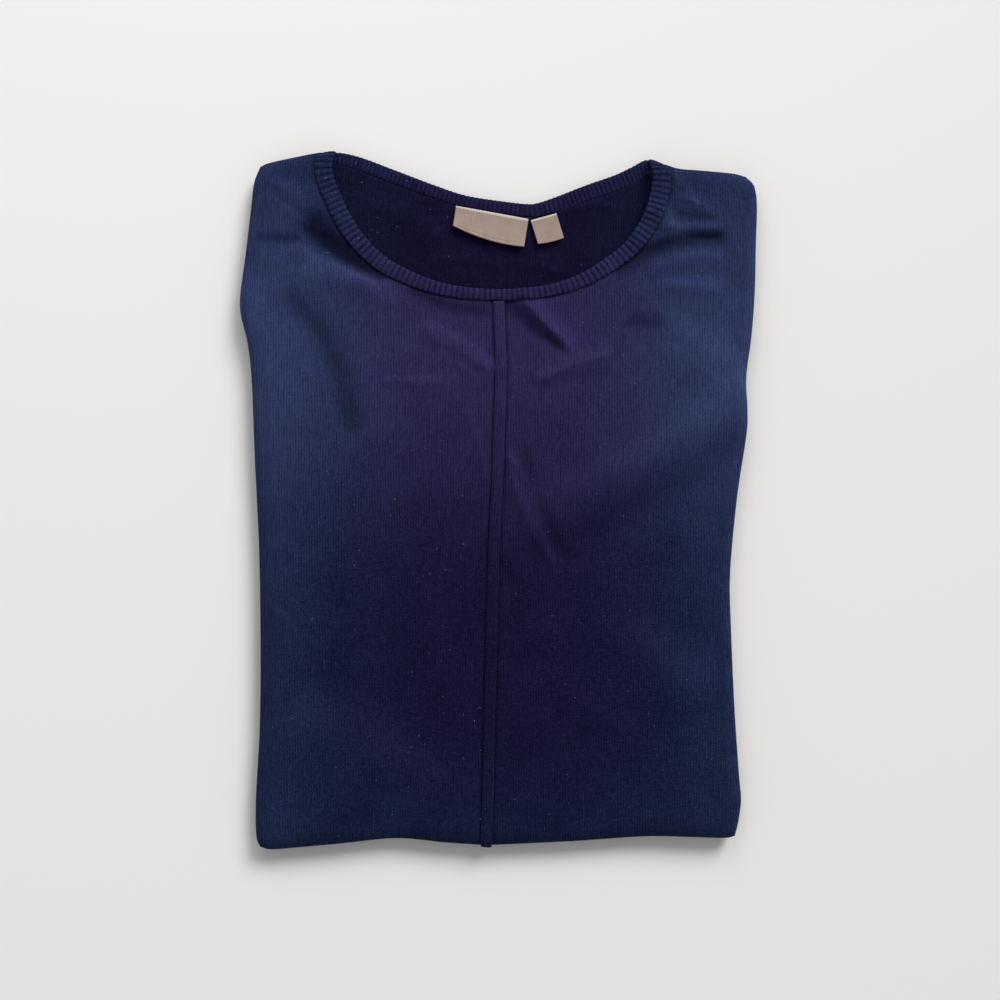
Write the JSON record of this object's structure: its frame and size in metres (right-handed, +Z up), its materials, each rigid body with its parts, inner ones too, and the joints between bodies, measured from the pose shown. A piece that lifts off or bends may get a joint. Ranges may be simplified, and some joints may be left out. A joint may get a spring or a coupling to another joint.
{
  "type": "folded sweater",
  "caption": "Fine knit sweater folded flat face up, with a wide ribbed round neck, a raised tuck down the centre front and bare woven tabs inside the back neck.",
  "frame": {"origin": "on the surface the pile lies on, under the middle of its bounding box", "axes": "+Z up out of the front of the sweater, +Y towards the neck, +X towards the right of someone looking down on the front with the neck at the top"},
  "size_m": [0.3619, 0.4885, 0.0189],
  "materials": {
    "navy_knit": "matt fine-gauge jersey knit with a soft nap, navy",
    "navy_rib": "matt one-by-one rib knit, navy",
    "woven_label": "beige woven tape, plain, with a faint satin sheen"
  },
  "bodies": {
    "root": {"front_left": "navy_knit", "front_right": "navy_knit", "centre_tuck": "navy_knit", "neckband_front": "navy_rib", "neckband_back": "navy_rib", "back_panel": "navy_knit", "label_main": "woven_label", "label_size": "woven_label", "folded_layers": "navy_knit"}
  },
  "joints": []
}
